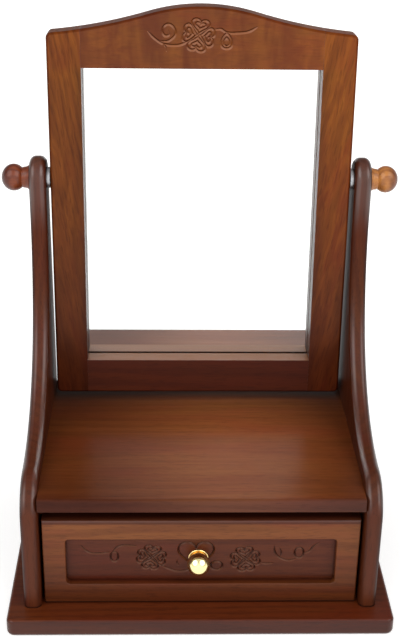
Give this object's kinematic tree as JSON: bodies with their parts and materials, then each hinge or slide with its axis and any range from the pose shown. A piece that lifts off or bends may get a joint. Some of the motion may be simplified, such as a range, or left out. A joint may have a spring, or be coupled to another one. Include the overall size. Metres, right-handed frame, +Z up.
{
  "type": "makeup mirror",
  "caption": "Table-top makeup mirror: a framed mirror tilts on turned knobs between swept wooden side panels, above a small case with a drawer.",
  "frame": {"origin": "centre of the base board's underside", "axes": "+Z up, -Y out of the drawer's front, +X to the right as one faces the mirror"},
  "size_m": [0.321, 0.2137, 0.4439],
  "materials": {
    "case_wood": "satin lacquer over a dark red-brown stain",
    "frame_wood": "satin lacquer over a warm brown stain",
    "plain_wood": "unstained, sanded",
    "hardboard": "smooth hardboard",
    "knob_wood_dark": "gloss lacquer, turned",
    "knob_wood_light": "gloss lacquer, turned",
    "mirror": "silvered glass",
    "steel": "zinc plated",
    "brass": "polished"
  },
  "bodies": {
    "stand": {"base_board": "case_wood", "left_side_panel": "case_wood", "right_side_panel": "case_wood", "top_board": "case_wood", "drawer_rail": "case_wood", "back_panel": "case_wood", "base_screws": "steel", "shelf_dowels": "plain_wood", "rail_dowels": "plain_wood", "back_brads": "steel", "left_washer": "steel", "right_washer": "steel"},
    "mirror": {"left_stile": "frame_wood", "right_stile": "frame_wood", "crest_rail": "frame_wood", "bottom_rail": "frame_wood", "mirror_glass": "mirror", "backing_board": "hardboard", "frame_dowels": "plain_wood", "backing_pins": "steel", "left_insert": "brass", "right_insert": "brass"},
    "left_tilt_knob": {"left_knob": "knob_wood_dark", "left_stud": "steel"},
    "right_tilt_knob": {"right_knob": "knob_wood_light", "right_stud": "steel"},
    "drawer": {"drawer_front": "case_wood", "drawer_left_side": "plain_wood", "drawer_right_side": "plain_wood", "drawer_back": "plain_wood", "drawer_bottom": "plain_wood", "drawer_dowels": "plain_wood", "drawer_brads": "steel", "drawer_knob": "brass", "drawer_knob_screw": "steel"}
  },
  "joints": [
    {"name": "mirror_tilt", "type": "hinge", "parent": "stand", "child": "mirror", "pos_m": [0, 0.0885, 0.30632], "axis": [1, 0, 0], "continuous": true},
    {"name": "left_knob_turn", "type": "hinge", "parent": "mirror", "child": "left_tilt_knob", "pos_m": [0, 0.0885, 0.30632], "axis": [-1, 0, 0], "range_deg": [0, 180]},
    {"name": "right_knob_turn", "type": "hinge", "parent": "mirror", "child": "right_tilt_knob", "pos_m": [0, 0.0885, 0.30632], "axis": [1, 0, 0], "range_deg": [0, 180]},
    {"name": "drawer_slide", "type": "slide", "parent": "stand", "child": "drawer", "axis": [0, -1, 0], "range_m": [0, 0.12]}
  ]
}
